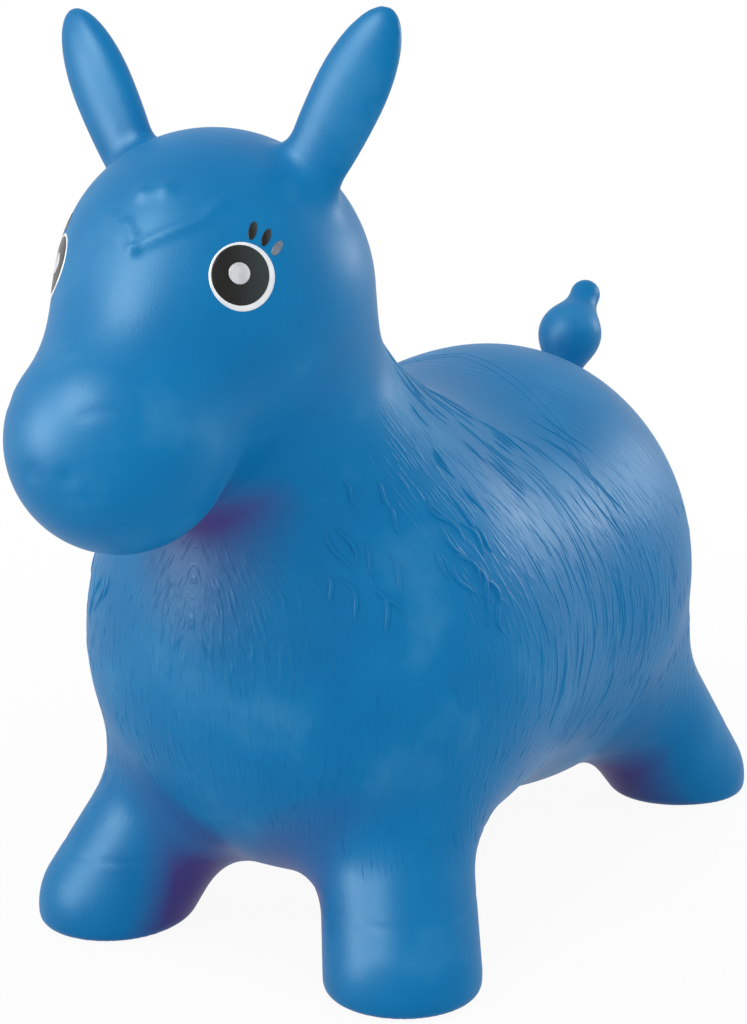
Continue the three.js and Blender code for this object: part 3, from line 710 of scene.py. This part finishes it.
def eye_axes(round_head):
    turn = np.radians(round_head)
    way = at(np.sin(turn) * np.cos(EYE_RISE), -np.cos(turn) * np.cos(EYE_RISE), np.sin(EYE_RISE))
    middle = SKULL + 70 * way
    for _ in range(30):
        middle = middle - skin(middle[None])[0] * way
    out = outward(middle[None])[0]
    back = unit(np.cross(at(0, 0, 1), out))
    return middle, back, np.cross(out, back)


FILM_DEPTH, FILM_SEGMENTS = 0.4, 48
FILM_SHARES = (1, 0.97, 0.9, 0.72, 0.5, 0.25)
FILM_RINGS = len(FILM_SHARES)


def film_mesh(name, eye, middle, halves, tilt, rise, mirror):
    eye_middle, eye_back, eye_up = eye
    turn = np.linspace(0, 2 * np.pi, FILM_SEGMENTS, endpoint=False)
    radius, angle = (grid.ravel() for grid in np.meshgrid(FILM_SHARES, turn, indexing="ij"))
    radius, angle = np.append(radius, 0), np.append(angle, 0)
    along, aside = halves[0] * radius * np.cos(angle), halves[1] * radius * np.sin(angle)
    back = middle[0] + along * np.sin(tilt) + aside * np.cos(tilt)
    up = middle[1] + along * np.cos(tilt) - aside * np.sin(tilt)
    spots = settle(eye_middle + back[:, None] * eye_back + up[:, None] * eye_up)
    out = outward(spots)
    top = spots + (rise * (radius < 1) - 0.05)[:, None] * out
    under = spots - FILM_DEPTH * out
    count = len(spots)
    faces = []
    for level, flip in ((0, 1), (count, -1)):
        for row in range(FILM_RINGS):
            for step in range(FILM_SEGMENTS):
                following = (step + 1) % FILM_SEGMENTS
                outer = [level + row * FILM_SEGMENTS + step, level + row * FILM_SEGMENTS + following]
                last = row == FILM_RINGS - 1
                inner = [level + count - 1] if last else [spot + FILM_SEGMENTS for spot in outer[::-1]]
                faces.append((outer + inner)[::flip])
    for step in range(FILM_SEGMENTS):
        following = (step + 1) % FILM_SEGMENTS
        faces.append((step, step + count, following + count, following))
    mesh = bpy.data.meshes.new(name)
    mesh.from_pydata(to_frame(np.vstack([top, under]) * mirror), [], faces)
    # across runs from the front to the rear of each film and places the painted sheen on the black paint.
    put_attribute(mesh, "across", "FLOAT", np.tile((back - middle[0]) / halves[1], 2))
    work = bmesh.new()
    work.from_mesh(mesh)
    bmesh.ops.recalc_face_normals(work, faces=work.faces)
    work.to_mesh(mesh)
    work.free()
    mesh.shade_smooth()
    return mesh


FILMS = {
    "eye_white": ((0, 0), (16, 16), 0, 0.3, WHITE_PAINT, "white_paint"),
    "eye_black": ((-0.9, 0.65), (14.2, 14.2), 0, 0.42, BLACK_PAINT, "black_paint"),
    "eye_glint": ((-1.5, 1.4), (5.1, 5.1), 0, 0.54, GLINT_PAINT, "white_paint"),
}
for lash, away, turn, tilt, half, paint in (
    ("front_lash", 22.5, 18.5, 22, 5, BLACK_PAINT),
    ("middle_lash", 22.4, 37, 32, 5, BLACK_PAINT),
    # The rear lash is painted pale blue-grey as a painted highlight.
    ("rear_lash", 22.4, 55.5, 42, 4.5, LASH_SHEEN_PAINT),
):
    turn, tilt = np.radians(turn), np.radians(tilt)
    FILMS[lash] = ((away * np.sin(turn), away * np.cos(turn)), (half, 2), tilt, 0.3, paint, "black_paint")
for side, round_head, mirror in (("left", 45.5, at(1, 1, 1)), ("right", 38.5, MIRROR)):
    eye = eye_axes(round_head)
    for film, (middle, halves, tilt, rise, paint, finish_slot) in FILMS.items():
        mesh = film_mesh(f"{side}_{film}_paint", eye, middle, halves, tilt, rise, mirror)
        piece = show(mesh.name, mesh, paint)
        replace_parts(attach(piece, "head"), f"{side}_{film}")
print("paint films:", 2 * len(FILMS))

# %% [markdown]
# ## Moulded hair
# The coat is drawn by raised strokes: dense and bold at the foot of the mane, S-shaped on the shoulder,
# long and fine down the flank, and short ticks on chest and flank. Each stroke is a line that follows
# the comb over the skin. A line mesh carries its thickness as an attribute, and one Geometry Nodes tree
# sweeps a small round bead along every line. The bead lies half sunk in the skin, as it does in a
# mould.

# %% The tree that turns lines into beads
def bead_tree():
    tree = bpy.data.node_groups.new("beads_along_lines", "GeometryNodeTree")
    socket(tree, "Lines", "INPUT", "NodeSocketGeometry")
    half_width = socket(tree, "Half width", "INPUT", "NodeSocketFloat")
    finish = socket(tree, "Finish", "INPUT", "NodeSocketMaterial")
    socket(tree, "Beads", "OUTPUT", "NodeSocketGeometry")
    node = tree.nodes.new
    given, result = node("NodeGroupInput"), node("NodeGroupOutput")
    curve, section = node("GeometryNodeMeshToCurve"), node("GeometryNodeCurvePrimitiveCircle")
    section.inputs["Resolution"].default_value = 6
    thickness = node("GeometryNodeInputNamedAttribute")
    thickness.inputs["Name"].default_value = "thickness"
    sweep, smooth = node("GeometryNodeCurveToMesh"), node("GeometryNodeSetShadeSmooth")
    sweep.inputs["Fill Caps"].default_value = True
    real, coloured = node("GeometryNodeRealizeInstances"), node("GeometryNodeSetMaterial")
    wire = tree.links.new
    wire(given.outputs["Lines"], curve.inputs["Mesh"])
    wire(given.outputs["Half width"], section.inputs["Radius"])
    wire(curve.outputs["Curve"], sweep.inputs["Curve"])
    wire(section.outputs["Curve"], sweep.inputs["Profile Curve"])
    wire(thickness.outputs["Attribute"], sweep.inputs["Scale"])
    wire(sweep.outputs["Mesh"], smooth.inputs["Geometry"])
    wire(smooth.outputs["Geometry"], real.inputs["Geometry"])
    wire(real.outputs["Geometry"], coloured.inputs["Geometry"])
    wire(given.outputs["Finish"], coloured.inputs["Material"])
    wire(coloured.outputs["Geometry"], result.inputs["Beads"])
    return tree, half_width.identifier, finish.identifier


BEADS, BEAD_HALF_WIDTH, BEAD_FINISH = bead_tree()
print("node tree:", BEADS.name)


# %% Sweep a set of lines
def swept(name, lines, thicknesses, half_width):
    """Lines are point arrays in millimetres, thicknesses the share of the half width at each point."""
    mesh = bpy.data.meshes.new(f"{name}_lines")
    counts = [len(line) for line in lines]
    firsts = np.cumsum([0, *counts[:-1]])
    edges = []
    for first, count in zip(firsts, counts):
        edges += [(first + step, first + step + 1) for step in range(count - 1)]
    points = np.vstack(lines)
    mesh.from_pydata(to_frame(points), edges, [])
    put_attribute(mesh, "thickness", "FLOAT", np.concatenate(thicknesses))
    put_attribute(mesh, "hair_place", "FLOAT_VECTOR", np.zeros((len(points), 3)))
    # The beads get the painted violet shade too, by their depth between parts.
    put_attribute(mesh, "shade_depth", "FLOAT", shade_depth(points, outward(points)))
    holder = bpy.data.objects.new(f"{name}_lines", mesh)
    bpy.context.scene.collection.objects.link(holder)
    change = holder.modifiers.new("beads", "NODES")
    change.node_group = BEADS
    change[BEAD_HALF_WIDTH] = half_width * MM
    change[BEAD_FINISH] = BLUE_VINYL
    ready = holder.evaluated_get(bpy.context.evaluated_depsgraph_get())
    beads = bpy.data.meshes.new_from_object(ready)
    bpy.data.objects.remove(holder)
    piece = show(name, beads, BLUE_VINYL)
    neck = BENDS["neck"]
    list(neck["bodies"])
    to_frame(neck["start"])
    to_frame(neck["end"])
    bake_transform(piece)
    print(name, len(lines), "lines,", len(beads.polygons), "faces")
    return piece


# %% Strokes of hair
DRAW = np.random.default_rng(7)
STROKE_STEPS = 9


def combed(points):
    way = np.cross(outward(points), slope(points, comb, 1.0))
    way *= np.where(way[:, 2:] > 0, -1, 1)
    return way / np.linalg.norm(way, axis=1)[:, None]


def strokes(count, low, high, lengths, wave):
    """Lines that start between the corners low and high, given for the left side with x counted outwards."""
    lines = []
    for side in (at(1, 1, 1), MIRROR):
        placed = grown_points * side
        inside = np.flatnonzero(((placed > low) & (placed < high)).all(1))
        points = grown_points[DRAW.choice(inside, count, replace=False)] + DRAW.normal(0, 0.6, (count, 3))
        step = DRAW.uniform(*lengths, count) / STROKE_STEPS
        turn, phase = DRAW.uniform(0.4, 1, count) * wave, DRAW.uniform(0, 6.28, count)
        rows = []
        for row in range(STROKE_STEPS + 1):
            points = settle(points, 2)
            rows.append(points)
            way = combed(points)
            aside = np.cross(outward(points), way)
            swing = turn * np.sin(phase + 5.5 * row / STROKE_STEPS)
            points = points + step[:, None] * (way + swing[:, None] * aside)
        lines += list(np.stack(rows, axis=1))
    return lines


taper = np.sin(np.pi * np.linspace(0.06, 0.94, STROKE_STEPS + 1)) ** 0.7
COAT = (
    ("mane_strokes", 44, (18, -152, 250), (140, -55, 335), (16, 40), 0.25, 1.15),
    ("shoulder_strokes", 22, (48, -212, 200), (140, -128, 264), (16, 34), 0.8, 1.7),
    ("withers_strokes", 48, (55, -118, 165), (140, 5, 268), (22, 60), 0.2, 0.7),
    ("flank_strokes", 34, (90, -70, 105), (140, 70, 190), (18, 42), 0.15, 0.45),
    ("chest_ticks", 120, (0, -260, 70), (140, -118, 205), (6, 12), 0.25, 0.36),
    ("flank_ticks", 120, (80, -118, 75), (140, 160, 215), (6, 12), 0.25, 0.36),
)
for name, count, low, high, lengths, wave, half_width in COAT:
    lines = strokes(count, at(*low), at(*high), lengths, wave)
    sunk = [line - 0.35 * half_width * outward(line) for line in lines]
    swept(name, sunk, [taper] * len(sunk), half_width)

# %% [markdown]
# ## Saddle edge
# A faint double line over the back marks the rear edge of a moulded saddle cloth. Its two beads run
# from flank to flank in a plane that leans forward on both sides, and end above the legs. The same tree
# sweeps them.

# %% Two beads over the back
SADDLE_Y, SADDLE_LEAN, SADDLE_GAP, BACK_AXIS_Z = 34, 0.36, 7, 160


def saddle_line(offset, reach, count=61):
    turn = np.radians(np.linspace(-reach, reach, count))
    radius = np.full(count, 120.0)
    for _ in range(40):
        ahead = SADDLE_Y + offset - SADDLE_LEAN * radius * np.abs(np.sin(turn))
        points = np.column_stack([radius * np.sin(turn), ahead, BACK_AXIS_Z + radius * np.cos(turn)])
        radius -= 0.8 * skin(points)
    return points - 0.35 * outward(points)


ends = np.clip(np.minimum(np.arange(61), np.arange(61)[::-1]) / 6 + 0.15, 0, 1)
swept("saddle_edge", [saddle_line(0, 62), saddle_line(SADDLE_GAP, 70)], [ends, ends], 0.6)

# %% [markdown]
# ## Air valve
# Under the belly sits a pale soft valve: a seat welded into the skin and a push-in plug. Both are
# turned shapes, so a profile is spun about the valve's axis. Small chamfers keep the light on their
# edges.

# %% Spin the seat and the plug
def turned(name, profile, segments=48):
    work = bmesh.new()
    rings = []
    for radius, height in profile:
        angles = np.linspace(0, 2 * np.pi, segments, endpoint=False) if radius > 0 else [0]
        spots = [(radius * np.cos(a) * MM, radius * np.sin(a) * MM + VALVE_Y, height * MM) for a in angles]
        rings.append([work.verts.new(spot) for spot in spots])
    closed = rings + rings[:1] if profile[0][0] > 0 else rings
    for one, other in zip(closed[:-1], closed[1:]):
        for step in range(segments):
            near, far = step, (step + 1) % segments
            below = [one[near % len(one)], one[far % len(one)]]
            above = [other[far % len(other)], other[near % len(other)]]
            work.faces.new(list(dict.fromkeys(below + above)))
    bmesh.ops.recalc_face_normals(work, faces=work.faces)
    mesh = bpy.data.meshes.new(name)
    work.to_mesh(mesh)
    work.free()
    mesh.shade_smooth()
    mesh.set_sharp_from_angle(angle=np.radians(50))
    return show(name, mesh, VALVE_VINYL)


plug_low, plug_high = (corner.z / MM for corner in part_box("valve_plug"))
seat_low = valve_low.z / MM
flange = seat_low + 3.7
SEAT = ((4, seat_low + 0.5), (4.5, seat_low), (7.4, seat_low), (8, seat_low + 0.6), (8, flange), (13, flange))
SEAT += ((13, flange + 1.6), (8, flange + 1.6), (8, seat_low + 12), (4, seat_low + 12))
PLUG = ((0, plug_low + 0.5), (2.4, plug_low + 0.4), (3.4, plug_low), (5.9, plug_low), (6.5, plug_low + 0.6))
PLUG += ((6.5, plug_low + 1.6), (6.1, plug_low + 2), (3.7, plug_low + 2))
PLUG += ((3.1, plug_high - 0.5), (2.6, plug_high), (0, plug_high))
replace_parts(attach(turned("valve_seat_ring", SEAT), "body"), "valve_seat")
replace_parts(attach(turned("valve_stopper", PLUG), "valve_plug"), "valve_plug")
print("valve seat from", round(seat_low, 1), "mm up")

# %% [markdown]
# ## Floor, light and camera
# The toy stands on a pale floor in front of white. A pale world gives most of the light, and a soft
# lamp high on the left in front adds a little, so a colour renders about as it is written. Three large
# lamps light only the gloss. Satin vinyl mirrors the soft boxes of a studio, and lamps strong enough to
# show that would wash out the blue if they lit it too. Camera and gloss rays see the floor and the
# world as white, and from below the floor is clear.

# %% Floor and world
def floor_finish():
    material = bpy.data.materials.new("pale_floor")
    material.use_nodes = True
    tree = material.node_tree
    shader = tree.nodes["Principled BSDF"]
    shader.inputs["Base Color"].default_value = (0.82, 0.82, 0.82, 1)
    shader.inputs["Roughness"].default_value = 0.9
    shader.inputs["Specular IOR Level"].default_value = 0
    glow, mix = tree.nodes.new("ShaderNodeEmission"), tree.nodes.new("ShaderNodeMixShader")
    rays = tree.nodes.new("ShaderNodeLightPath")
    share = tree.nodes.new("ShaderNodeMath")
    share.operation = "MULTIPLY"
    share.inputs[1].default_value = 0.93
    tree.links.new(seen_directly(tree, rays), share.inputs[0])
    tree.links.new(share.outputs[0], mix.inputs["Fac"])
    tree.links.new(shader.outputs[0], mix.inputs[1])
    tree.links.new(glow.outputs[0], mix.inputs[2])
    place, length = tree.nodes.new("ShaderNodeTexCoord"), tree.nodes.new("ShaderNodeVectorMath")
    fade = tree.nodes.new("ShaderNodeMapRange")
    length.operation = "LENGTH"
    for name, number in (("From Min", 0.45), ("From Max", 1.3), ("To Min", 0), ("To Max", 1)):
        fade.inputs[name].default_value = number
    clear, ground = tree.nodes.new("ShaderNodeBsdfTransparent"), tree.nodes.new("ShaderNodeMixShader")
    tree.links.new(place.outputs["Object"], length.inputs[0])
    tree.links.new(length.outputs["Value"], fade.inputs["Value"])
    side, open_side = tree.nodes.new("ShaderNodeNewGeometry"), tree.nodes.new("ShaderNodeMath")
    open_side.operation = "MAXIMUM"
    tree.links.new(side.outputs["Backfacing"], open_side.inputs[0])
    tree.links.new(fade.outputs["Result"], open_side.inputs[1])
    tree.links.new(open_side.outputs[0], ground.inputs["Fac"])
    tree.links.new(mix.outputs[0], ground.inputs[1])
    tree.links.new(clear.outputs[0], ground.inputs[2])
    tree.links.new(ground.outputs[0], tree.nodes["Material Output"].inputs["Surface"])
    return material


def seen_directly(tree, rays):
    total = rays.outputs["Is Camera Ray"]
    for kind in ("Is Glossy Ray", "Is Transmission Ray"):
        either = tree.nodes.new("ShaderNodeMath")
        either.operation = "MAXIMUM"
        tree.links.new(total, either.inputs[0])
        tree.links.new(rays.outputs[kind], either.inputs[1])
        total = either.outputs[0]
    return total


def pale_world():
    world = bpy.data.worlds.new("white_studio")
    world.use_nodes = True
    tree = world.node_tree
    rays = tree.nodes.new("ShaderNodeLightPath")
    level = tree.nodes.new("ShaderNodeMapRange")
    level.inputs["To Min"].default_value = WORLD_FILL
    level.inputs["To Max"].default_value = 1
    tree.links.new(seen_directly(tree, rays), level.inputs["Value"])
    backdrop = tree.nodes["Background"]
    backdrop.inputs["Color"].default_value = (1, 1, 1, 1)
    tree.links.new(level.outputs["Result"], backdrop.inputs["Strength"])
    return world


WORLD_FILL = 0.92
FLOOR_HALF = 4.0
floor_mesh = bpy.data.meshes.new("floor")
FLOOR_Z = -0.0005
corner = [(x * FLOOR_HALF, y * FLOOR_HALF, FLOOR_Z) for x, y in ((-1, -1), (1, -1), (1, 1), (-1, 1))]
floor_mesh.from_pydata(corner, [], [(0, 1, 2, 3)])
show("floor", floor_mesh, floor_finish())
bpy.context.scene.world = pale_world()
bpy.context.scene.view_settings.view_transform = "Standard"
print("floor and world ready")

# %% Lamps and camera
def lamp(name, place, aim, size, power, sheen_only=False):
    light = bpy.data.lights.new(name, "AREA")
    light.shape = "DISK"
    light.size = size
    light.energy = power
    holder = bpy.data.objects.new(name, light)
    holder.location = place
    holder.visible_diffuse = not sheen_only
    holder.rotation_euler = (Vector(aim) - Vector(place)).to_track_quat("-Z", "Y").to_euler()
    bpy.context.scene.collection.objects.link(holder)


lamp("key_lamp", (-0.31, -1.22, 1.24), (0, -0.1, 0.28), 0.5, 4)
lamp("key_sheen", (-0.31, -1.22, 1.24), (0, -0.1, 0.28), 0.9, 70, sheen_only=True)
lamp("front_sheen", (-0.95, -1.3, 0.55), (0, -0.1, 0.28), 0.9, 60, sheen_only=True)
lamp("back_sheen", (0.65, 1.2, 0.6), (0.05, 0, 0.22), 0.4, 8, sheen_only=True)
EYE_POINT, LOOK = Vector((0.6284, -1.0293, 0.475)), Vector((-0.509, 0.834, -0.211))
lens = bpy.data.cameras.new("camera")
lens.lens, lens.sensor_width = 78.36, 36
camera = bpy.data.objects.new("camera", lens)
camera.location, camera.rotation_euler = EYE_POINT, LOOK.to_track_quat("-Z", "Y").to_euler()
bpy.context.scene.collection.objects.link(camera)
bpy.context.scene.camera = camera
print("camera at", [round(x, 3) for x in EYE_POINT])
